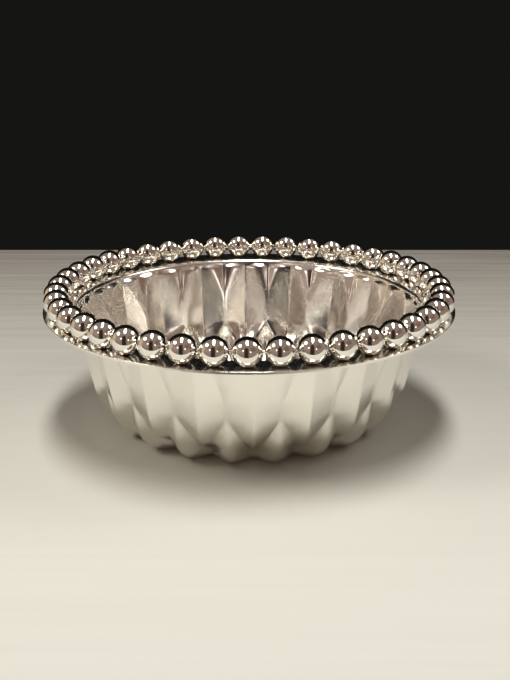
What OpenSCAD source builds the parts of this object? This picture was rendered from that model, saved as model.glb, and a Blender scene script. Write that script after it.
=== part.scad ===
// Offering bowl: one pressed, fluted sheet with a flat flange, and a ring of
// separate balls strung on a wire and seated on the flange.
// Origin at the centre of the base, +Z up, millimetres.

/* [Ball ring] */
// Diameter of the circle that the ball centres lie on
bead_circle_d = 143.4; // [130:0.2:160]
// Number of balls in the ring
bead_count = 43; // [38:1:50]
// Bare wire left between neighbouring balls
bead_gap = 0.48; // [0.3:0.02:1]
// Depth of the flat seat under each ball
bead_seat = 0.15; // [0.05:0.05:0.4]
// Direction of the first ball, counted anticlockwise from +X
bead_start_angle = 269.8; // [260:0.2:280]
// Diameter of the wire that the balls are strung on
wire_d = 1.2; // [0.8:0.1:1.8]
// Least gap between the wire and a ball's bore
wire_clearance = 0.06; // [0.04:0.02:0.2]

/* [Sheet and flange] */
// Height of the flange's top above the table
flange_h = 45.4; // [40:0.2:55]
// Thickness of the sheet
sheet_t = 1; // [0.6:0.1:1.2]
// Flat of the flange left bare on each side of the balls
flange_margin = 0.3; // [0.2:0.1:2]
// Underside radius of the rolled shoulder between wall and flange
shoulder_r = 0.7; // [0.4:0.1:2]

/* [Panels of the wall] */
// Number of folded panels round the wall
flute_count = 20; // [18:1:24]
// Direction of one panel's centre crease, anticlockwise from +X
flute_start_angle = 271.8; // [264:0.2:280]
// Diameter over the panel creases where their cone ends
knee_d = 119.8; // [117:0.2:122]
// Height at which that cone ends
knee_h = 16; // [15:0.1:18]
// Inset of the corner that the creases curve round below the knee
belly_inset = 3.6; // [2.6:0.1:4.6]
// Height of that corner
belly_h = 10.3; // [9:0.1:12]
// Diameter of the circle on which the panels' lower points lie
tip_d = 98; // [94:0.2:102]
// Height of the panels' lower points
tip_h = 6.4; // [5.6:0.1:7.4]
// Height at which the panels start to narrow to those points
panel_end_h = 21; // [19:0.2:26]
// Depth of the groove between panels under the shoulder
fold_top = 1; // [0.4:0.1:1.4]
// Depth of the groove between panels where the lobes spring
fold_low = 2.2; // [1.4:0.1:2.8]

/* [Darts and lobes] */
// Height at which the darts between the panels end in a point
dart_tip_h = 29; // [28:0.2:34]
// Rise of a dart's crease over the grooves beside it
dart_rise = 0.9; // [0.4:0.1:1.4]
// Height over which the folds fade into the shoulder
arch_fade_h = 1.8; // [1:0.1:3]
// Height at which the lobes spring from the grooves
lobe_spring_h = 20; // [18:0.2:22]
// Inset of the grooves' knee beside the lobes, from the panels' knee
groove_inset = 4; // [3:0.1:5]
// Height of the grooves' knee
groove_knee_h = 12; // [10.8:0.1:13.5]
// Inset of the lobes' knee, from the panels' knee
lobe_inset = 2.7; // [2:0.1:3.6]
// Height of the lobes' knee
lobe_knee_h = 10.8; // [9.8:0.1:12.6]
// Inset of the corner that the lobes curve round, from their knee
lobe_belly_inset = 3.6; // [2.6:0.1:4.6]
// Height of that corner
lobe_belly_h = 4.6; // [3.8:0.1:6]

/* [Foot] */
// Diameter over the lobes where they meet the table
foot_d = 94; // [90:0.2:98]
// Depth of the hollows between the lobes at the table
foot_scallop = 8; // [5:0.1:9]
// Inset of the corner that the hollows curve round, from the panels' points
hollow_inset = 2; // [1:0.1:3]
// Height of the corner that the hollows curve round
hollow_h = 2.6; // [1.8:0.1:3.4]
// Radius of the rounding where the lobes meet the table
foot_round = 0.8; // [0.4:0.1:1.5]

/* [Hidden] */
// One overrun for every cut
cut_over = 1;
// Sides of every round shape
smooth_fn = 96;

bead_circle_r = bead_circle_d / 2;
bead_step = 360 / bead_count;
bead_d = bead_circle_d * sin(bead_step / 2) - bead_gap;
bead_r = bead_d / 2;
bead_z = flange_h + bead_r - bead_seat;
wire_sagitta = bead_circle_r - sqrt(pow(bead_circle_r, 2) - pow(bead_r, 2));
bore_r = wire_d / 2 + wire_sagitta + wire_clearance;

flange_half_w = bead_r + flange_margin;
flange_out_r = bead_circle_r + flange_half_w;
flange_in_r = bead_circle_r - flange_half_w;
flange_under_h = flange_h - sheet_t;
shoulder_z = flange_under_h - shoulder_r;
wall_top_r = flange_in_r - shoulder_r;

flute_step = 360 / flute_count;
half_flute = flute_step / 2;
knee_r = knee_d / 2;
tip_r = tip_d / 2;
foot_r = foot_d / 2;

// Half a panel's share of the half flute under the shoulder, and the flat
// share left at the bottom of a groove
arch_share = 0.5;
groove_share = 0.08;
// How round the panels' lower points are: 1 gives straight sides
point_curve = 0.9;
// Where the side of a dart or lobe stands between its groove and its top, and
// how much more the side of a lobe swells, of the lobe's depth
side_share = 0.5;
swell_share = 0.18;
// Reach of the rounding at the knees and at the corners below them
knee_reach = 2.5;
belly_reach = 4.5;
// How much of a leg a rounding may take, and points of each rounding
leg_share = 0.5;
arc_steps = 8;

// Points of a ring in each flute, and rings on each stretch of the wall
flute_points = 6;
foot_rings = 5;
lobe_rings = 7;
seam_rings = 2;
dart_rings = 4;
shoulder_rings = 3;
// How much closer together the foot's rings lie towards the table
foot_crowding = 1.7;

function mix(a, b, t) = a + (b - a) * t;
function share_of(x, from, to) = max(0, min(1, (x - from) / (to - from)));

// A rail is a line of [radius, height] corners from top to low, with its inner
// corners rounded
function towards(at, p, reach) = at + (p - at) * min(reach / norm(p - at), leg_share);
function arc_point(a, at, b, t) = a * pow(1 - t, 2) + at * (2 * t * (1 - t)) + b * t * t;
function rail(corners, reaches) =
    concat([corners[0]],
           [for (i = [0:len(reaches) - 1])
               let (at = corners[i + 1],
                    a = towards(at, corners[i], reaches[i]),
                    b = towards(at, corners[i + 2], reaches[i]))
               for (k = [0:arc_steps]) arc_point(a, at, b, k / arc_steps)],
           [corners[len(corners) - 1]]);
function table_of(line) = [for (p = line) [p[1], p[0]]];

wall_top = [wall_top_r, shoulder_z];
tip = [tip_r, tip_h];
crease_table = table_of(rail([wall_top, [knee_r, knee_h], [knee_r - belly_inset, belly_h], tip],
                             [knee_reach, belly_reach]));
spring = [lookup(lobe_spring_h, crease_table) - fold_low, lobe_spring_h];
groove_table = table_of(rail([spring, [knee_r - groove_inset, groove_knee_h], tip], [belly_reach]));
lobe_knee_r = knee_r - lobe_inset;
lobe_table = table_of(rail([spring, [lobe_knee_r, lobe_knee_h],
                            [lobe_knee_r - lobe_belly_inset, lobe_belly_h], [foot_r, 0]],
                           [knee_reach, belly_reach]));
hollow_table = table_of(rail([tip, [tip_r - hollow_inset, hollow_h], [foot_r - foot_scallop, 0]],
                             [belly_reach]));

// At a height: the radius of the crease, of the groove and of the dart or lobe
// between two panels, and the groove's place
function fade(h) = share_of(shoulder_z - h, 0, arch_fade_h);
function crease_r(h) = lookup(h, crease_table);
function groove_r(h) =
    h >= lobe_spring_h
    ? crease_r(h) - fade(h) * mix(fold_low, fold_top, share_of(h, lobe_spring_h, shoulder_z))
    : lookup(h, groove_table);
function between_r(h) =
    h >= lobe_spring_h
    ? groove_r(h) + fade(h) * dart_rise * share_of(h, dart_tip_h, shoulder_z)
    : lookup(h, lobe_table);
function point_place(h) =
    mix(groove_share, 1 - groove_share, pow(share_of(h, tip_h, panel_end_h), point_curve));
function groove_place(h) = mix(point_place(h), arch_share, share_of(h, dart_tip_h, shoulder_z));
// How far the rounding at the table sets the wall back
function toe(h) =
    foot_round - sqrt(pow(foot_round, 2) - pow(foot_round * (1 - share_of(h, 0, foot_round)), 2));

// A half-flute profile: [radius, height, place] at the crease, the groove, the
// side of the dart or lobe and its top, where place runs from 0 to 1
function profile(crease, groove, between, place, swell) =
    [[crease[0], crease[1], 0],
     [groove[0], groove[1], place],
     [mix(groove[0], between[0], side_share + swell), mix(groove[1], between[1], side_share),
      mix(place, 1, side_share)],
     [between[0], between[1], 1]];
function wall_profile(h) =
    profile([crease_r(h), h], [groove_r(h), h], [between_r(h), h], groove_place(h),
            h < lobe_spring_h ? swell_share : 0);
function foot_profile(h) =
    let (hollow = lookup(h, hollow_table) - toe(h), lobe = lookup(h, lobe_table) - toe(h))
    profile([hollow, h], [hollow, h], [lobe, h], groove_share, swell_share);
function round_profile(r, h) =
    [[r, h, 0], [r, h, arch_share], [r, h, mix(arch_share, 1, side_share)], [r, h, 1]];

// A whole ring of points, from a half-flute profile mirrored about its crease
function spot(p, side, k) =
    let (a = flute_start_angle + k * flute_step + side * p[2] * half_flute)
    [p[0] * cos(a), p[0] * sin(a), p[1]];
function ring(prof) =
    [for (k = [0:flute_count - 1])
        for (s = [spot(prof[2], -1, k), spot(prof[1], -1, k), spot(prof[0], 1, k),
                  spot(prof[1], 1, k), spot(prof[2], 1, k), spot(prof[3], 1, k)]) s];

foot_heights = [for (i = [0:foot_rings - 1]) tip_h * pow(i / foot_rings, foot_crowding)];
wall_heights = concat(
    [for (i = [0:lobe_rings - 1]) mix(tip_h, lobe_spring_h, i / lobe_rings)],
    [for (i = [0:seam_rings - 1]) mix(lobe_spring_h, dart_tip_h, i / seam_rings)],
    [for (i = [0:dart_rings - 1]) mix(dart_tip_h, shoulder_z - arch_fade_h, i / (dart_rings - 1))]);
wall_out = concat(
    [for (h = foot_heights) ring(foot_profile(h))],
    [for (h = wall_heights) ring(wall_profile(h))]);
function shoulder_ring(r, i) =
    let (a = 180 - 90 * i / shoulder_rings)
    ring(round_profile(flange_in_r + r * cos(a), shoulder_z + r * sin(a)));

// The inner skin lies one sheet's thickness along the outer skin's normals
ring_points = flute_points * flute_count;
wall_and_next = concat(wall_out, [shoulder_ring(shoulder_r, 0)]);
function unit(v) = v / norm(v);
function normal_at(i, j) =
    unit(cross(wall_and_next[i][(j + 1) % ring_points]
               - wall_and_next[i][(j + ring_points - 1) % ring_points],
               wall_and_next[i - 1][j] - wall_and_next[i + 1][j]));
function inner_ring(i) =
    [for (j = [0:ring_points - 1])
        i == 0 ? wall_out[0][j] + [0, 0, sheet_t] : wall_out[i][j] + sheet_t * normal_at(i, j)];

shell_rings = concat(
    wall_out,
    [for (i = [0:shoulder_rings]) shoulder_ring(shoulder_r, i)],
    [ring(round_profile(flange_out_r, flange_under_h))],
    [ring(round_profile(flange_out_r, flange_h))],
    [for (i = [shoulder_rings:-1:0]) shoulder_ring(shoulder_r + sheet_t, i)],
    [for (i = [len(wall_out) - 1:-1:0]) inner_ring(i)]);

function shell_side(i, j) =
    let (a = i * ring_points + j, b = i * ring_points + (j + 1) % ring_points)
    [[a, b + ring_points, b], [a, a + ring_points, b + ring_points]];

// The pressed sheet: foot, fluted wall, rolled shoulder and flange
module bowl_shell() {
    rings = len(shell_rings);
    last = (rings - 1) * ring_points;
    points = concat([for (r = shell_rings) for (p = r) p], [[0, 0, 0], [0, 0, sheet_t]]);
    centre = rings * ring_points;
    color("silver")
    polyhedron(points, concat(
        [for (i = [0:rings - 2]) for (j = [0:ring_points - 1]) for (f = shell_side(i, j)) f],
        [for (j = [0:ring_points - 1]) [centre, j, (j + 1) % ring_points]],
        [for (j = [0:ring_points - 1])
            [centre + 1, last + (j + 1) % ring_points, last + j]]),
        convexity = 10);
}

// One ball: bored along the ring and flat where it sits on the flange
module bead(number) {
    color("gainsboro")
    rotate([0, 0, bead_start_angle + (number - 1) * bead_step])
    translate([bead_circle_r, 0, bead_z])
    difference() {
        sphere(r = bead_r, $fn = smooth_fn);
        rotate([90, 0, 0])
        cylinder(r = bore_r, h = bead_d + cut_over, center = true, $fn = smooth_fn);
        translate([0, 0, -bead_r + bead_seat - cut_over / 2])
        cube([bead_d, bead_d, cut_over], center = true);
    }
}

// The wire ring through all the balls
module bead_wire() {
    color("darkgray")
    translate([0, 0, bead_z])
    rotate_extrude($fn = smooth_fn)
    translate([bead_circle_r, 0])
    circle(d = wire_d, $fn = smooth_fn);
}

function bead_name(number) = str("bead_", number < 10 ? "0" : "", number);
bowl_shell();
bead_wire();
for (i = [1:bead_count])
    bead(i);
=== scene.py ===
"""Offering bowl: one folded, fluted sheet of silver plate with a ring of balls on its flange.

Every length is in metres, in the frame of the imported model: the bowl stands on z = 0, its axis is
+Z, and the camera looks along +Y.
"""

import math

import bmesh
import bpy
import numpy as np
from bpy.props import FloatProperty, FloatVectorProperty, IntProperty, PointerProperty
from mathutils import Matrix, Vector


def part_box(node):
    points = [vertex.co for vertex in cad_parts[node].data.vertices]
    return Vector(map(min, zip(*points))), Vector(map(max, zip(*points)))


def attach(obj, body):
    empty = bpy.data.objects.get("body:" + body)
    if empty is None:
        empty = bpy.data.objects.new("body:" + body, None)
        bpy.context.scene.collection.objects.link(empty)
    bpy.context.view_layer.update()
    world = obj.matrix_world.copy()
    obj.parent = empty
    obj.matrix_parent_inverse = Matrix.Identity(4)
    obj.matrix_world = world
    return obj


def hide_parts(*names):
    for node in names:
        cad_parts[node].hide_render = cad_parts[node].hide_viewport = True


bl_info = {
    "name": "Offering bowl",
    "version": (1, 0, 0),
    "blender": (4, 5, 0),
    "location": "View3D > Sidebar > Bowl",
    "description": "Builds a folded offering bowl with a ring of balls on its flange",
    "category": "Add Mesh",
}

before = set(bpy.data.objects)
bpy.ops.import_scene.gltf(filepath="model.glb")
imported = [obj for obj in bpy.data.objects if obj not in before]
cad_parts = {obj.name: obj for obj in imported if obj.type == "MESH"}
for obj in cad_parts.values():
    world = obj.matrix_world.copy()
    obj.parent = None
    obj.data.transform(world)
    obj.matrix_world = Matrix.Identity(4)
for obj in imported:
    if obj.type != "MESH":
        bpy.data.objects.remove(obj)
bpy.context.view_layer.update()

MM = 0.001
BODY = "root"
SHELL_NODE = "bowl_shell"
WIRE_NODE = "bead_wire"
BALL_NODES = sorted(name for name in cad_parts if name.startswith("bead_") and name != WIRE_NODE)
SHELL_LOW, SHELL_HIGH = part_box(SHELL_NODE)


def length(name, description, default):
    """A length property in metres."""
    return FloatProperty(name=name, description=description, default=default, min=0.0,
                         unit="LENGTH", precision=5)


def share(name, description, default):
    """A property that runs from 0 to 1."""
    return FloatProperty(name=name, description=description, default=default, min=0.0, max=1.0,
                         subtype="FACTOR")


def colour(name, description, default):
    """A linear colour property."""
    return FloatVectorProperty(name=name, description=description, default=default, size=3,
                               min=0.0, max=1.0, subtype="COLOR")


class BowlSheet(bpy.types.PropertyGroup):
    """Sizes of the pressed sheet."""

    flutes: IntProperty(name="Flutes", description="Folded panels round the wall", default=20, min=3)
    first_flute: FloatProperty(name="First flute", description="Direction of one panel's centre crease",
                               default=math.radians(271.8), unit="ROTATION")
    sheet: length("Sheet", "Thickness of the sheet", 1 * MM)
    flange_in: length("Flange inside", "Radius at which the flat of the flange starts", 66.4 * MM)
    flange_out: length("Flange outside", "Radius of the flange", SHELL_HIGH.x)
    flange_height: length("Flange height", "Height of the flange's top", SHELL_HIGH.z)
    flange_edge: length("Flange edge", "Rounding of the flange's edge", 0.15 * MM)
    shoulder: length("Shoulder", "Underside radius of the rolled shoulder", 0.7 * MM)
    knee_r: length("Panel knee radius", "Radius of the panel creases where their cone ends", 59.9 * MM)
    knee_h: length("Panel knee height", "Height at which that cone ends", 16 * MM)
    belly_inset: length("Belly inset", "Inset of the corner that the creases curve round below", 3.6 * MM)
    belly_h: length("Belly height", "Height of that corner", 10.3 * MM)
    tip_r: length("Panel point radius", "Radius of the panels' lower points", 49 * MM)
    tip_h: length("Panel point height", "Height of the panels' lower points", 6.4 * MM)
    panel_end_h: length("Panel end", "Height at which the panels start to narrow to their points", 21 * MM)
    fold_top: length("Fold at the top", "Depth of the groove between panels at the shoulder", 1 * MM)
    fold_low: length("Fold lower down", "Depth of that groove where the lobes spring", 2.2 * MM)
    dart_rise: length("Dart rise", "Rise of a dart's crease over the grooves beside it", 0.9 * MM)
    dart_tip_h: length("Dart point", "Height at which the darts end in a point", 29 * MM)
    arch_fade: length("Arch fade", "Height over which the folds fade into the shoulder", 1.8 * MM)
    lobe_spring_h: length("Lobe spring", "Height at which the lobes spring", 20 * MM)
    groove_inset: length("Groove inset", "Inset of the grooves' knee from the panels' knee", 4 * MM)
    groove_knee_h: length("Groove knee height", "Height of the grooves' knee", 12 * MM)
    lobe_inset: length("Lobe inset", "Inset of the lobes' knee from the panels' knee", 2.7 * MM)
    lobe_knee_h: length("Lobe knee height", "Height of the lobes' knee", 10.8 * MM)
    lobe_belly_inset: length("Lobe belly inset", "Inset of the corner that the lobes curve round", 3.6 * MM)
    lobe_belly_h: length("Lobe belly height", "Height of that corner", 4.6 * MM)
    foot_r: length("Foot", "Radius over the lobes where they meet the table", 47 * MM)
    foot_scallop: length("Foot scallop", "Depth of the hollows between the lobes at the table", 8 * MM)
    hollow_inset: length("Hollow inset", "Inset of the corner that the hollows curve round", 2 * MM)
    hollow_h: length("Hollow height", "Height of that corner", 2.6 * MM)
    foot_round: length("Foot rounding", "Radius of the rounding where the lobes meet the table", 0.8 * MM)
    knee_round: length("Knee rounding", "Reach of the rounding at the knees", 2.5 * MM)
    belly_round: length("Belly rounding", "Reach of the rounding at the corners below the knees", 4.5 * MM)
    crease_round: length("Crease rounding", "Reach of the rounding at a panel's crease", 0.5 * MM)
    groove_round: length("Groove rounding", "Reach of the rounding in a groove", 0.35 * MM)
    ridge_round: length("Ridge rounding", "Reach of the rounding over a ridge inside", 2 * MM)
    arch_round: length("Arch rounding", "Reach of that rounding at the shoulder", 3 * MM)
    inner_lag: length("Lobe lag inside", "Drop below their spring where the lobes are full inside", 6 * MM)
    nose_round: length("Lobe rounding", "Reach of the rounding over a lobe at the foot", 3.8 * MM)
    arch: share("Arch", "Half a panel's share of the half flute at the shoulder", 0.5)
    groove: share("Groove", "Flat share left at the bottom of a groove", 0.08)
    seam: share("Seam", "Least share of the half flute that the seams' ridge takes inside", 0.17)
    bulge: share("Bulge", "How far the faces follow the round of the bowl", 0.25)


class BowlBalls(bpy.types.PropertyGroup):
    """Sizes of the balls."""

    seat: length("Seat", "Depth of the flat seat under each ball", 0.15 * MM)
    bore_r: length("Bore", "Radius of the bore along the ring", 0.84 * MM)
    bore_edge: length("Bore edge", "Rounding of the bore's edge", 0.12 * MM)
    arc_steps: IntProperty(name="Arc steps", description="Steps along the outline of a ball",
                           default=28, min=8)
    turn_steps: IntProperty(name="Turn steps", description="Steps round the bore", default=48, min=12)


class BowlFinish(bpy.types.PropertyGroup):
    """Colours of the plate."""

    silver: colour("Silver", "Polished plate", (0.93, 0.905, 0.845))
    # Brown mixed into the plate along the lines between panels low on the wall, more towards the bottom,
    # and at the foot of each ball
    low_brown: colour("Tarnish", "Plate in sheltered folds", (0.62, 0.53, 0.41))
    wire: colour("Wire", "Drawn wire under thin plate", (0.86, 0.8, 0.69))
    # How much of that brown goes in where it is strongest
    low_brown_amount: share("Tarnish amount", "How much the sheltered folds darken", 0.2)
    ball_polish: share("Ball polish", "Roughness of the balls where they are polished best", 0.02)
    ball_haze: share("Ball haze", "Roughness of the balls where they are handled", 0.06)
    sheet_polish: share("Sheet polish", "Roughness of the sheet where it is polished best", 0.17)
    sheet_haze: share("Sheet haze", "Roughness of the sheet where it is wiped dull", 0.24)


class BowlStage(bpy.types.PropertyGroup):
    """Table, room and camera."""

    table: colour("Table", "The table near the camera", (0.82, 0.80, 0.72))
    # Painted shade: the table's colour at the back, made darker so the board looks less lit far from the
    # lamps
    table_back_painted_shade: colour("Far table", "The far side of the table", (0.202, 0.176, 0.150))
    room: colour("Room", "The room behind the camera", (0.25, 0.195, 0.165))
    ceiling: colour("Ceiling", "The room overhead", (0.36, 0.29, 0.26))
    dim_wall: colour("Dim wall", "The room below the table's level", (0.125, 0.09, 0.073))
    warm_wall: colour("Warm wall", "A lit wall on the left", (0.55, 0.43, 0.31))
    rosy_wall: colour("Rosy wall", "A lit wall left of the camera", (0.33, 0.235, 0.20))
    brown_wall: colour("Brown wall", "A wooden wall on the right", (0.20, 0.115, 0.08))
    gap: colour("Gap", "The dark end of the room behind the camera", (0.035, 0.022, 0.017))
    backdrop: colour("Backdrop", "The backdrop behind the bowl", (0.0075, 0.0075, 0.0065))
    room_fill: share("Room fill", "The room's share of the light on the table", 0.24)
    table_near_y: FloatProperty(name="Table front", description="Where the table ends in front",
                                default=-0.172, unit="LENGTH")
    # Where the painted shade on the table starts; it deepens towards the table's back
    table_shade_start_y: FloatProperty(name="Table dims", description="Where the table starts to dim",
                               default=-0.12, unit="LENGTH")
    table_far_y: FloatProperty(name="Table back", description="Where the table ends behind",
                               default=0.27, unit="LENGTH")
    table_half: length("Table half width", "Half the width of the table", 0.8)


def settings():
    """The scene's own sizes and colours."""
    return bpy.context.scene.offering_bowl


class BowlSettings(bpy.types.PropertyGroup):
    """All settings of the bowl."""

    sheet: PointerProperty(type=BowlSheet)
    balls: PointerProperty(type=BowlBalls)
    finish: PointerProperty(type=BowlFinish)
    stage: PointerProperty(type=BowlStage)


# The rails of the folded wall

ARC_STEPS = 24
LEG_SHARE = 0.5
POINT_CURVE = 0.9


def rail(corners, reaches):
    """A line of (radius, height) points from top to low, with its corners rounded."""
    corners = [Vector(c) for c in corners]
    points = [corners[0]]
    for before, at, after, reach in zip(corners, corners[1:], corners[2:], reaches):
        a, b = (at + (p - at).normalized() * min(reach, LEG_SHARE * (p - at).length)
                for p in (before, after))
        for i in range(ARC_STEPS + 1):
            t = i / ARC_STEPS
            points.append(a * (1 - t) ** 2 + at * (2 * t * (1 - t)) + b * t * t)
    return np.array([p[:] for p in points + [corners[-1]]])


def at_height(curve, h):
    """The curve's radius at a height."""
    return float(np.interp(h, curve[::-1, 1], curve[::-1, 0]))


def ramp(x, start, end):
    """0 at start, 1 at end, straight between."""
    return min(1.0, max(0.0, (x - start) / (end - start)))


def ease(t):
    """A smooth step from 0 to 1."""
    return t * t * (3.0 - 2.0 * t)


def mix(a, b, t):
    """The value at a share of the way from a to b."""
    return a + (b - a) * t


class Level:
    """One row of the wall: crease, groove and the line between panels as (radius, height),
    the groove's place in the half flute, and how far the roundings over that line and over
    the groove reach."""

    def __init__(self, crease, groove, between, place, nose, valley):
        self.rails = [np.array(crease), np.array(groove), np.array(between)]
        self.place = place
        self.nose = nose
        self.valley = valley


def round_level(s, r, h):
    """A row that is a plain circle."""
    return Level((r, h), (r, h), (r, h), s.arch, 0.0, 0.0)


BASE_SHARES = (0.5, 0.9)
FLANGE_SHARES = (0.34, 0.67)
TOE_ROWS = 4
NOSE_ROWS = 14
LOBE_ROWS = 16
SEAM_ROWS = 8
DART_ROWS = 8
FADE_ROWS = 5
SHOULDER_ROWS = 6
EDGE_ROWS = 4
NOSE_FADE = 0.5


def wall_levels(s):
    """The rows of the outer skin, from the base to the top of the shoulder."""
    shoulder_h = s.flange_height - s.sheet - s.shoulder
    wall_top, tip = (s.flange_in - s.shoulder, shoulder_h), (s.tip_r, s.tip_h)
    lobe_knee_r = s.knee_r - s.lobe_inset
    crease = rail((wall_top, (s.knee_r, s.knee_h), (s.knee_r - s.belly_inset, s.belly_h), tip),
                  (s.knee_round, s.belly_round))
    spring = (at_height(crease, s.lobe_spring_h) - s.fold_low, s.lobe_spring_h)
    groove = rail((spring, (s.knee_r - s.groove_inset, s.groove_knee_h), tip), (s.belly_round,))
    lobe = rail((spring, (lobe_knee_r, s.lobe_knee_h), (lobe_knee_r - s.lobe_belly_inset, s.lobe_belly_h),
                 (s.foot_r, 0)), (s.knee_round, s.belly_round))
    hollow = rail((tip, (s.tip_r - s.hollow_inset, s.hollow_h), (s.foot_r - s.foot_scallop, 0)),
                  (s.belly_round,))
    levels = []

    def place(h):
        up = ramp(h, s.tip_h, s.panel_end_h) ** POINT_CURVE
        return mix(s.groove, 1 - s.groove, up)

    def toe(h):
        """How far the rounding at the table sets the wall back."""
        rest = s.foot_round * (1 - ramp(h, 0, s.foot_round))
        return s.foot_round - math.sqrt(s.foot_round ** 2 - rest ** 2)

    # Base, and the hollows and noses of the lobes
    foot_heights = [s.foot_round * (1 - math.cos(0.5 * math.pi * i / TOE_ROWS)) for i in range(TOE_ROWS)]
    foot_heights += [mix(s.foot_round, s.tip_h, i / NOSE_ROWS) for i in range(NOSE_ROWS + 1)]
    low, side = at_height(hollow, 0), at_height(lobe, 0) - toe(0)
    for base_share in BASE_SHARES:
        inside = (base_share * low, 0)
        levels.append(Level(inside, inside, (base_share * side, 0), s.groove, s.nose_round, s.groove_round))
    for h in foot_heights:
        low, side = at_height(hollow, h) - toe(h), at_height(lobe, h) - toe(h)
        levels.append(Level((low, h), (low, h), (side, h), s.groove, s.nose_round, s.groove_round))

    # Points of the panels between the lobes
    for i in range(1, LOBE_ROWS + 1):
        h = mix(s.tip_h, s.lobe_spring_h, i / LOBE_ROWS)
        up = ramp(h, s.tip_h, s.lobe_spring_h)
        levels.append(Level((at_height(crease, h), h), (at_height(groove, h), h), (at_height(lobe, h), h),
                            place(h), mix(s.nose_round, s.crease_round, up ** NOSE_FADE), s.groove_round))

    # Panels and darts up to the shoulder
    fade_h = shoulder_h - s.arch_fade
    heights = [mix(s.lobe_spring_h, s.dart_tip_h, i / SEAM_ROWS) for i in range(1, SEAM_ROWS + 1)]
    heights += [mix(s.dart_tip_h, fade_h, i / DART_ROWS) for i in range(1, DART_ROWS + 1)]
    heights += [mix(fade_h, shoulder_h, i / FADE_ROWS) for i in range(1, FADE_ROWS)]
    for h in heights:
        fade = ease(ramp(shoulder_h - h, 0, s.arch_fade))
        up = ramp(h, s.dart_tip_h, shoulder_h)
        r = at_height(crease, h)
        low = r - fade * mix(s.fold_low, s.fold_top, ramp(h, s.lobe_spring_h, shoulder_h))
        levels.append(Level((r, h), (low, h), (low + fade * s.dart_rise * up, h),
                            mix(place(h), s.arch, up), s.crease_round, s.groove_round))

    # Rolled shoulder
    for i in range(SHOULDER_ROWS + 1):
        a = math.pi - 0.5 * math.pi * i / SHOULDER_ROWS
        levels.append(round_level(s, s.flange_in + s.shoulder * math.cos(a),
                                  shoulder_h + s.shoulder * math.sin(a)))
    return levels


def inner_levels(s, levels):
    """The rows of the inner skin, one sheet's thickness inside the outer rows."""
    shoulder_h = s.flange_height - s.sheet - s.shoulder
    found = []
    for i, level in enumerate(levels):
        before, after = levels[max(i - 1, 0)], levels[min(i + 1, len(levels) - 1)]
        moved = []
        for k in range(3):
            along = after.rails[k] - before.rails[k]
            if i == len(levels) - 1:
                along = np.array((1.0, 0.0))
            normal = np.array((along[1], -along[0])) / np.linalg.norm(along)
            moved.append(level.rails[k] - s.sheet * normal)
        h = level.rails[0][1]
        up = ramp(h, s.dart_tip_h, shoulder_h)
        if h < s.dart_tip_h:
            moved[2] = mix(moved[1], moved[2], ease(ramp(s.lobe_spring_h - h, 0, s.inner_lag)))
        ridge = mix(s.ridge_round, s.arch_round, up)
        found.append(Level(*moved, min(level.place, 1 - s.seam), level.nose, ridge))
    return found


def sheet_levels(s):
    """Every row of the closed sheet: base, wall, flange, inner wall and floor."""
    outer = wall_levels(s)
    under, edge = s.flange_height - s.sheet, s.flange_edge
    rim = s.flange_out - edge
    flange = [round_level(s, mix(s.flange_in, rim, t), under) for t in FLANGE_SHARES]
    for centre_h, start in ((under + edge, -90), (s.flange_height - edge, 0)):
        for i in range(EDGE_ROWS + 1):
            a = math.radians(start + 90 * i / EDGE_ROWS)
            flange.append(round_level(s, rim + edge * math.cos(a), centre_h + edge * math.sin(a)))
    flange += [round_level(s, mix(s.flange_in, rim, t), s.flange_height) for t in reversed(FLANGE_SHARES)]
    inner = inner_levels(s, outer)[::-1]
    return [round_level(s, 0, 0)] + outer + flange + inner + [round_level(s, 0, s.sheet)]


# The section of half a flute

CREASE_COLUMNS = 3
PANEL_COLUMNS = 4
GROOVE_COLUMNS = 4
FLANK_COLUMNS = 3
NOSE_COLUMNS = 3
HALF_COLUMNS = CREASE_COLUMNS + PANEL_COLUMNS + GROOVE_COLUMNS + FLANK_COLUMNS + NOSE_COLUMNS
MOST_ROUND = 0.45
MERGE = 0.002 * MM


def corner(before, at, after, reach, shares):
    """Points of a rounded corner whose middle lies at the given point, at shares of the way round."""
    middle = before.lerp(after, 0.5)
    side = max((before - middle).length, (at - middle).length, MERGE)
    cut = min(MOST_ROUND, reach / side)
    peak = (at - middle * (cut / 2)) / (1 - cut / 2)
    a, b = peak.lerp(before, cut), peak.lerp(after, cut)
    return [a * (1 - t) ** 2 + peak * (2 * t * (1 - t)) + b * t * t for t in shares]


def face(start, end, columns, bulge):
    """Points between two corners, lifted towards the round of the bowl."""
    chord = Vector((end.x - start.x, end.y - start.y))
    r = max(Vector((start.x, start.y)).length, 1e-6)
    lift = bulge * chord.length_squared / (8 * r)
    out = Vector(((start.x + end.x) / 2, (start.y + end.y) / 2, 0)).normalized()
    return [start.lerp(end, i / columns) + out * (lift * 4 * (i / columns) * (1 - i / columns))
            for i in range(1, columns)]


def section(s, level):
    """Half a flute's points on one row, from the crease on +X to the line between two panels."""
    half = math.pi / s.flutes
    turns = (-level.place * half, 0.0, level.place * half, half, (2 - level.place) * half)
    rails = [level.rails[k] for k in (1, 0, 1, 2, 1)]
    far_groove, crease, groove, between, next_groove = (
        Vector((p[0] * math.cos(a), p[0] * math.sin(a), p[1])) for p, a in zip(rails, turns))
    points = corner(far_groove, crease, groove, s.crease_round,
                    [0.5 + 0.5 * i / CREASE_COLUMNS for i in range(CREASE_COLUMNS + 1)])
    valley = corner(crease, groove, between, level.valley,
                    [i / GROOVE_COLUMNS for i in range(GROOVE_COLUMNS + 1)])
    nose = corner(groove, between, next_groove, level.nose,
                  [0.5 * i / NOSE_COLUMNS for i in range(NOSE_COLUMNS + 1)])
    points += face(points[-1], valley[0], PANEL_COLUMNS, s.bulge)
    points += valley
    points += face(points[-1], nose[0], FLANK_COLUMNS, s.bulge)
    points += nose
    return points


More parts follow.
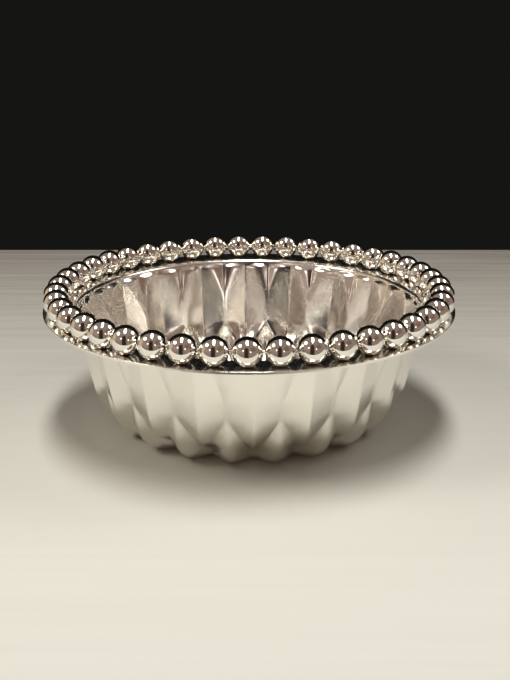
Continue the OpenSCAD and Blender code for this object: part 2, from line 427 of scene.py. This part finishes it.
def new_object(name, bm):
    """An object at the origin from a finished mesh."""
    mesh = bpy.data.meshes.new(name)
    bm.to_mesh(mesh)
    bm.free()
    obj = bpy.data.objects.new(name, mesh)
    bpy.context.scene.collection.objects.link(obj)
    return obj


def smooth(obj, sharp_angle):
    """Smooth shading, with edges left sharp over an angle."""
    obj.data.shade_smooth()
    obj.data.set_sharp_from_angle(angle=sharp_angle)


def pressed_sheet(s):
    """The closed sheet: half a flute laid on the rows, mirrored and repeated round the axis."""
    levels = sheet_levels(s)
    rows = len(levels) - 1
    bm = bmesh.new()
    bmesh.ops.create_grid(bm, x_segments=HALF_COLUMNS, y_segments=rows, size=0.5)
    sections = [section(s, level) for level in levels]
    for v in bm.verts:
        column, row = round((v.co.x + 0.5) * HALF_COLUMNS), round((v.co.y + 0.5) * rows)
        v.co = sections[row][column]
    bmesh.ops.mirror(bm, geom=bm.verts[:] + bm.edges[:] + bm.faces[:], matrix=Matrix.Identity(4),
                     merge_dist=MERGE, axis="Y")
    bmesh.ops.rotate(bm, verts=bm.verts, cent=(0, 0, 0), matrix=Matrix.Rotation(s.first_flute, 3, "Z"))
    step = 2 * math.pi / s.flutes
    bmesh.ops.spin(bm, geom=bm.verts[:] + bm.edges[:] + bm.faces[:], cent=(0, 0, 0), axis=(0, 0, 1),
                   angle=step * (s.flutes - 1), steps=s.flutes - 1, use_duplicate=True)
    bmesh.ops.remove_doubles(bm, verts=bm.verts, dist=MERGE)
    bmesh.ops.recalc_face_normals(bm, faces=bm.faces)
    return bm


# Balls

RIM_ANGLE = math.radians(40)
RIM_SEGMENTS = 2


def drilled_ball(s, radius):
    """A ball at the origin, bored along Y and flat underneath."""
    bm = bmesh.new()
    lead = math.asin(s.bore_r / radius)
    first = bm.verts.new((s.bore_r, -math.sqrt(radius ** 2 - s.bore_r ** 2), 0))
    bmesh.ops.spin(bm, geom=[first], cent=(0, 0, 0), axis=(0, 0, 1),
                   angle=math.pi - 2 * lead, steps=s.arc_steps)
    ends = [v for v in bm.verts if len(v.link_edges) == 1]
    bm.edges.new(ends)
    bmesh.ops.spin(bm, geom=bm.verts[:] + bm.edges[:], cent=(0, 0, 0), axis=(0, 1, 0),
                   angle=2 * math.pi, steps=s.turn_steps, use_merge=True)
    rims = [e for e in bm.edges if len(e.link_faces) == 2 and e.calc_face_angle() > RIM_ANGLE]
    bmesh.ops.bevel(bm, geom=rims, offset=s.bore_edge, segments=RIM_SEGMENTS, affect="EDGES",
                    profile=0.5, material=-1)
    cut = bmesh.ops.bisect_plane(bm, geom=bm.verts[:] + bm.edges[:] + bm.faces[:],
                                 plane_co=(0, 0, s.seat - radius), plane_no=(0, 0, -1), clear_outer=True)
    rim = [e for e in cut["geom_cut"] if isinstance(e, bmesh.types.BMEdge)]
    bmesh.ops.contextual_create(bm, geom=rim)
    bmesh.ops.recalc_face_normals(bm, faces=bm.faces)
    return bm


# Materials

# Name of the attribute that holds how much brown each point of the plate takes
LOW_BROWN_MASK = "low_brown_mask"
CLOUD_SCALE = 42.0
CLOUD_DETAIL = 5.0
CLOUD_HAZE = (0.42, 0.68)
CLOUD_LOW_BROWN = (0.3, 0.7)
LOW_BROWN_LEAST = 0.5
SPECK_SCALE = 900.0
SPECK_DETAIL = 2.0
SPECK_RANGE = (0.3, 0.7)
SPECK_LEAST = 0.7
WIPE_SCALE = 160.0
WIPE_DETAIL = 3.0
WIPE_STRETCH = (1.0, 6.0, 3.0)
WIPE_STRENGTH = 0.01
WIPE_DEPTH = 0.02 * MM


def new_material(name):
    """A node material with nothing but its shader and output."""
    material = bpy.data.materials.new(name)
    material.use_nodes = True
    nodes = material.node_tree.nodes
    return material, nodes, material.node_tree.links, nodes["Principled BSDF"]


def noise(nodes, links, coordinates, scale, detail=4.0, stretch=None):
    """A noise texture on given coordinates."""
    texture = nodes.new("ShaderNodeTexNoise")
    texture.inputs["Scale"].default_value = scale
    texture.inputs["Detail"].default_value = detail
    if stretch:
        mapping = nodes.new("ShaderNodeMapping")
        mapping.inputs["Scale"].default_value = stretch
        links.new(coordinates, mapping.inputs["Vector"])
        coordinates = mapping.outputs["Vector"]
    links.new(coordinates, texture.inputs["Vector"])
    return texture.outputs["Fac"]


def map_range(nodes, links, value, low, high, to_low=0.0, to_high=1.0, smooth_step=False):
    """A value brought from one range to another."""
    node = nodes.new("ShaderNodeMapRange")
    if smooth_step:
        node.interpolation_type = "SMOOTHSTEP"
    for name, number in (("From Min", low), ("From Max", high), ("To Min", to_low), ("To Max", to_high)):
        node.inputs[name].default_value = number
    links.new(value, node.inputs["Value"])
    return node.outputs["Result"]


def maths(nodes, links, operation, a, b):
    """A Math node on sockets or numbers."""
    node = nodes.new("ShaderNodeMath")
    node.operation = operation
    for socket, value in zip(node.inputs, (a, b)):
        if isinstance(value, (int, float)):
            socket.default_value = value
        else:
            links.new(value, socket)
    return node.outputs["Value"]


def mix_colour(nodes, links, factor, a, b):
    """A colour mix of sockets or plain colours."""
    node = nodes.new("ShaderNodeMix")
    node.data_type = "RGBA"
    for name, value in (("A", a), ("B", b)):
        socket = [i for i in node.inputs if i.name == name and i.type == "RGBA"][0]
        if isinstance(value, bpy.types.NodeSocket):
            links.new(value, socket)
        else:
            socket.default_value = (*value, 1.0)
    factor_socket = [i for i in node.inputs if i.name == "Factor" and i.type == "VALUE"][0]
    if isinstance(factor, (int, float)):
        factor_socket.default_value = factor
    else:
        links.new(factor, factor_socket)
    return [o for o in node.outputs if o.type == "RGBA"][0]


def silver_plate(name, finish, base, polish, haze):
    """Polished plate: hazy where it is handled, fine wipe marks, and brown mixed in where the mesh's brown
    attribute is high: low along the lines between panels and at the foot of each ball.
    """
    material, nodes, links, shader = new_material(name)
    shader.inputs["Metallic"].default_value = 1.0
    place = nodes.new("ShaderNodeTexCoord").outputs["Object"]
    cloud = noise(nodes, links, place, CLOUD_SCALE, CLOUD_DETAIL)
    speck = noise(nodes, links, place, SPECK_SCALE, SPECK_DETAIL)
    hazy = maths(nodes, links, "MULTIPLY", map_range(nodes, links, cloud, *CLOUD_HAZE),
                 map_range(nodes, links, speck, *SPECK_RANGE, SPECK_LEAST, 1.0))
    links.new(map_range(nodes, links, hazy, 0.0, 1.0, polish, haze), shader.inputs["Roughness"])
    low_brown_node = nodes.new("ShaderNodeAttribute")
    low_brown_node.attribute_name = LOW_BROWN_MASK
    least = LOW_BROWN_LEAST * finish.low_brown_amount
    patchy = map_range(nodes, links, cloud, *CLOUD_LOW_BROWN, least, finish.low_brown_amount)
    amount = maths(nodes, links, "MULTIPLY", low_brown_node.outputs["Fac"], patchy)
    links.new(mix_colour(nodes, links, amount, base, finish.low_brown), shader.inputs["Base Color"])
    wipe = noise(nodes, links, place, WIPE_SCALE, WIPE_DETAIL, stretch=WIPE_STRETCH)
    bump = nodes.new("ShaderNodeBump")
    bump.inputs["Strength"].default_value = WIPE_STRENGTH
    bump.inputs["Distance"].default_value = WIPE_DEPTH
    links.new(wipe, bump.inputs["Height"])
    links.new(bump.outputs["Normal"], shader.inputs["Normal"])
    return material


def set_low_brown_mask(obj, name, rule):
    """Stores how much brown each point of a mesh takes, from 0 to 1."""
    layer = obj.data.attributes.new(name, "FLOAT", "POINT")
    layer.data.foreach_set("value", [rule(v.co) for v in obj.data.vertices])


def dress(obj, material):
    """One material on the whole object."""
    obj.data.materials.clear()
    obj.data.materials.append(material)


SHEET_SHARP = math.radians(60)
BALL_SHARP = math.radians(35)
# Brown along the lines between panels: where it starts across the half flute, and the height where it
# begins as a share of the lobes' spring; then the share of a ball's radius that it covers above the seat
BETWEEN_BROWN_START = 0.62
BETWEEN_BROWN_RISE = 1.6
BALL_BROWN_REACH = 0.25


class OBJECT_OT_bowl_sheet(bpy.types.Operator):
    """Makes the folded sheet: base, fluted wall, shoulder and flange"""

    bl_idname = "offering_bowl.sheet"
    bl_label = "Pressed sheet"

    def execute(self, context):
        s, finish = settings().sheet, settings().finish
        obj = new_object("pressed_sheet", pressed_sheet(s))
        smooth(obj, SHEET_SHARP)
        obj.modifiers.new("Face normals", "WEIGHTED_NORMAL").keep_sharp = True
        step = 2 * math.pi / s.flutes

        # Brown near the line between two panels, growing towards the bottom of the wall
        def between_panels_brown(co):
            turn = abs((math.atan2(co.y, co.x) - s.first_flute) / step % 1.0 - 0.5) * 2
            drop = s.lobe_spring_h * BETWEEN_BROWN_RISE - co.z
            return ease(ramp(1 - turn, BETWEEN_BROWN_START, 1.0)) * ramp(drop, 0, s.lobe_spring_h)

        set_low_brown_mask(obj, LOW_BROWN_MASK, between_panels_brown)
        dress(obj, silver_plate("silver_plate_sheet", finish, finish.silver,
                                finish.sheet_polish, finish.sheet_haze))
        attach(obj, BODY)
        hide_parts(SHELL_NODE)
        return {"FINISHED"}


class OBJECT_OT_bowl_balls(bpy.types.Operator):
    """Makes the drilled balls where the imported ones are"""

    bl_idname = "offering_bowl.balls"
    bl_label = "Balls"

    def execute(self, context):
        s, finish = settings().balls, settings().finish
        material = silver_plate("silver_plate_balls", finish, finish.silver,
                                finish.ball_polish, finish.ball_haze)
        for node in BALL_NODES:
            low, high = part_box(node)
            radius = (high.z - low.z + s.seat) / 2
            centre = Vector(((low.x + high.x) / 2, (low.y + high.y) / 2, high.z - radius))
            bm = drilled_ball(s, radius)
            turn = Matrix.Rotation(math.atan2(centre.y, centre.x), 4, "Z")
            bmesh.ops.transform(bm, matrix=Matrix.Translation(centre) @ turn, verts=bm.verts)
            obj = new_object(node.replace("bead", "ball"), bm)
            smooth(obj, BALL_SHARP)
            # Brown at the foot of each ball, fading out a share of its radius above its flat seat
            reach = BALL_BROWN_REACH * radius
            set_low_brown_mask(obj, LOW_BROWN_MASK, lambda co: ease(ramp(low.z + reach - co.z, 0, reach)))
            dress(obj, material)
            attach(obj, BODY)
            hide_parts(node)
        return {"FINISHED"}


class OBJECT_OT_bowl_wire(bpy.types.Operator):
    """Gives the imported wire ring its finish"""

    bl_idname = "offering_bowl.wire"
    bl_label = "Wire"

    def execute(self, context):
        finish = settings().finish
        dress(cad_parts[WIRE_NODE],
              silver_plate("silver_plate_wire", finish, finish.wire, finish.ball_polish, finish.ball_haze))
        return {"FINISHED"}


# Stage

def aim(azimuth, elevation, distance):
    """A place seen from the bowl in a direction, in degrees."""
    a, e = math.radians(azimuth), math.radians(elevation)
    return Vector((math.cos(a) * math.cos(e), math.sin(a) * math.cos(e), math.sin(e))) * distance


LAMPS = (
    # name, azimuth, elevation, distance, width, height, power, colour
    ("lamp_over", 270, 85, 2.4, 0.46, 1.92, 44, (1.0, 0.985, 0.955)),
    ("lamp_left", 194, 44, 1.1, 0.42, 0.30, 2.8, (1.0, 0.96, 0.89)),
    ("lamp_right", 8, 45, 1.1, 0.46, 0.38, 1.6, (1.0, 0.985, 0.96)),
    ("lamp_low_left", 240, 23, 1.1, 0.16, 0.16, 0.18, (1.0, 0.92, 0.86)),
    ("lamp_low_right", 295, 15, 1.1, 0.15, 0.18, 0.15, (1.0, 0.92, 0.86)),
)
LAMP_TARGET = Vector((0, 0, 0.04))


def add_lamp(name, azimuth, elevation, distance, width, height, power, tint):
    """A soft oval lamp that faces the bowl."""
    data = bpy.data.lights.new(name, "AREA")
    data.shape = "ELLIPSE"
    data.size, data.size_y = width, height
    data.energy = power
    data.color = tint
    lamp = bpy.data.objects.new(name, data)
    lamp.location = LAMP_TARGET + aim(azimuth, elevation, distance)
    lamp.rotation_euler = (LAMP_TARGET - lamp.location).to_track_quat("-Z", "Y").to_euler()
    bpy.context.scene.collection.objects.link(lamp)


ALL_ROUND = 180
ROOM_AREAS = (
    # colour, azimuth, half width, softness in azimuth, low elevation, high elevation, softness in elevation
    ("ceiling", 270, ALL_ROUND, 0, 48, 95, 12),
    ("dim_wall", 270, ALL_ROUND, 0, -95, -10, 12),
    ("warm_wall", 163, 30, 18, -4, 29, 9),
    ("rosy_wall", 226, 22, 12, 3, 27, 7),
    ("brown_wall", 322, 20, 14, 14, 42, 8),
    ("gap", 265, 15, 11, -60, 47, 8),
)
BACKDROP_EDGE = (0.34, 0.5)


def room_area(nodes, links, flat, up, azimuth, half_width, soft, low, high, soft_up):
    """How much of an area of the room a direction meets, from 0 to 1."""
    low_edge, high_edge = (
        map_range(nodes, links, up, math.sin(math.radians(e - soft_up / 2)),
                  math.sin(math.radians(e + soft_up / 2)), smooth_step=True) for e in (low, high))
    band = maths(nodes, links, "SUBTRACT", low_edge, high_edge)
    if half_width >= ALL_ROUND:
        return band
    towards = nodes.new("ShaderNodeVectorMath")
    towards.operation = "DOT_PRODUCT"
    links.new(flat, towards.inputs[0])
    towards.inputs[1].default_value = aim(azimuth, 0, 1)
    outer, inner = (math.cos(math.radians(half_width + k * soft / 2)) for k in (1, -1))
    side = map_range(nodes, links, towards.outputs["Value"], outer, inner, smooth_step=True)
    return maths(nodes, links, "MULTIPLY", band, side)


def room_world(stage):
    """The room by direction: dark backdrop ahead, warm room behind the camera, lighter overhead."""
    world = bpy.data.worlds.new("room")
    bpy.context.scene.world = world
    world.use_nodes = True
    nodes, links = world.node_tree.nodes, world.node_tree.links
    background = nodes["Background"]
    direction = nodes.new("ShaderNodeTexCoord").outputs["Generated"]
    axes = nodes.new("ShaderNodeSeparateXYZ")
    links.new(direction, axes.inputs["Vector"])
    level, flat = (nodes.new("ShaderNodeVectorMath") for _ in range(2))
    level.operation, flat.operation = "MULTIPLY", "NORMALIZE"
    links.new(direction, level.inputs[0])
    level.inputs[1].default_value = (1, 1, 0)
    links.new(level.outputs["Vector"], flat.inputs[0])
    whole = stage.room
    for name, *area in ROOM_AREAS:
        amount = room_area(nodes, links, flat.outputs["Vector"], axes.outputs["Z"], *area)
        whole = mix_colour(nodes, links, amount, whole, getattr(stage, name))
    path = nodes.new("ShaderNodeLightPath")
    dark = map_range(nodes, links, axes.outputs["Y"], *BACKDROP_EDGE, smooth_step=True)
    dark = maths(nodes, links, "MAXIMUM", dark, path.outputs["Is Camera Ray"])
    links.new(mix_colour(nodes, links, dark, whole, stage.backdrop), background.inputs["Color"])
    seen = path.outputs["Is Camera Ray"]
    for kind in ("Is Glossy Ray", "Is Transmission Ray"):
        seen = maths(nodes, links, "MAXIMUM", seen, path.outputs[kind])
    links.new(map_range(nodes, links, seen, 0.0, 1.0, stage.room_fill, 1.0), background.inputs["Strength"])


TABLE_THICK = 0.02
GRAIN_SCALE = 60.0
GRAIN_DETAIL = 6.0
GRAIN_STRETCH = (0.12, 3.0, 1.0)
GRAIN_RANGE = (0.35, 0.7)
GRAIN_AMOUNT = 0.22
GRAIN_SHADE = 0.86
TABLE_ROUGHNESS = 0.6
TABLE_SPECULAR = 0.2


def table_top(stage):
    """The table: a pale board with fine grain along X, and painted shade that darkens it towards the back
    where the light falls off.
    """
    bm = bmesh.new()
    bmesh.ops.create_cube(bm, size=1.0)
    depth = stage.table_far_y - stage.table_near_y
    bmesh.ops.scale(bm, vec=(2 * stage.table_half, depth, TABLE_THICK), verts=bm.verts)
    bmesh.ops.translate(bm, vec=(0, stage.table_near_y + depth / 2, -TABLE_THICK / 2), verts=bm.verts)
    table = new_object("table", bm)
    material, nodes, links, shader = new_material("pale_table")
    place = nodes.new("ShaderNodeTexCoord").outputs["Object"]
    axes = nodes.new("ShaderNodeSeparateXYZ")
    links.new(place, axes.inputs["Vector"])
    # Painted shade: the board's colour runs from the front colour to the darker back colour along Y, in
    # place of the light falling off
    painted_falloff = map_range(nodes, links, axes.outputs["Y"], stage.table_shade_start_y, stage.table_far_y)
    base = mix_colour(nodes, links, painted_falloff, stage.table, stage.table_back_painted_shade)
    grain = noise(nodes, links, place, GRAIN_SCALE, GRAIN_DETAIL, stretch=GRAIN_STRETCH)
    dim = [GRAIN_SHADE * c for c in stage.table]
    shade = map_range(nodes, links, grain, *GRAIN_RANGE, 0.0, GRAIN_AMOUNT)
    links.new(mix_colour(nodes, links, shade, base, dim), shader.inputs["Base Color"])
    shader.inputs["Roughness"].default_value = TABLE_ROUGHNESS
    shader.inputs["Specular IOR Level"].default_value = TABLE_SPECULAR
    dress(table, material)


FOCAL_PIXELS = 1061
FRAME_PIXELS = 680
CAMERA_PITCH = 18.5
CAMERA_PLACE = (0.0022, -0.3858, 0.1593)
SENSOR_WIDTH = 36.0
CLIP_START = 0.01


def add_camera():
    """The camera, at the photograph's angle and distance."""
    data = bpy.data.cameras.new("camera")
    data.sensor_width = SENSOR_WIDTH
    data.lens = data.sensor_width * FOCAL_PIXELS / FRAME_PIXELS
    data.clip_start = CLIP_START
    camera = bpy.data.objects.new("camera", data)
    camera.location = CAMERA_PLACE
    camera.rotation_euler = (math.radians(90 - CAMERA_PITCH), 0, 0)
    bpy.context.scene.collection.objects.link(camera)
    bpy.context.scene.camera = camera


class OBJECT_OT_bowl_stage(bpy.types.Operator):
    """Makes the table, the room, the lamps and the camera"""

    bl_idname = "offering_bowl.stage"
    bl_label = "Stage"

    def execute(self, context):
        stage = settings().stage
        add_camera()
        for lamp in LAMPS:
            add_lamp(*lamp)
        room_world(stage)
        table_top(stage)
        context.scene.view_settings.view_transform = "Standard"
        return {"FINISHED"}


class VIEW3D_PT_offering_bowl(bpy.types.Panel):
    """Lists the bowl's pieces and its sizes"""

    bl_label = "Offering bowl"
    bl_idname = "VIEW3D_PT_offering_bowl"
    bl_space_type = "VIEW_3D"
    bl_region_type = "UI"
    bl_category = "Bowl"

    def draw(self, context):
        layout = self.layout
        for operator in OPERATORS:
            layout.operator(operator.bl_idname)
        whole = context.scene.offering_bowl
        for group in (whole.sheet, whole.balls, whole.finish, whole.stage):
            column = layout.column(align=True)
            for name in group.bl_rna.properties.keys():
                if name not in ("name", "rna_type"):
                    column.prop(group, name)


OPERATORS = (OBJECT_OT_bowl_stage, OBJECT_OT_bowl_sheet, OBJECT_OT_bowl_balls, OBJECT_OT_bowl_wire)
CLASSES = (BowlSheet, BowlBalls, BowlFinish, BowlStage, BowlSettings, *OPERATORS, VIEW3D_PT_offering_bowl)


def register():
    for cls in CLASSES:
        bpy.utils.register_class(cls)
    bpy.types.Scene.offering_bowl = PointerProperty(type=BowlSettings)


def unregister():
    del bpy.types.Scene.offering_bowl
    for cls in reversed(CLASSES):
        bpy.utils.unregister_class(cls)


def main():
    """Builds the scene."""
    register()
    bpy.ops.offering_bowl.stage()
    bpy.ops.offering_bowl.sheet()
    bpy.ops.offering_bowl.balls()
    bpy.ops.offering_bowl.wire()


if __name__ == "__main__":
    main()
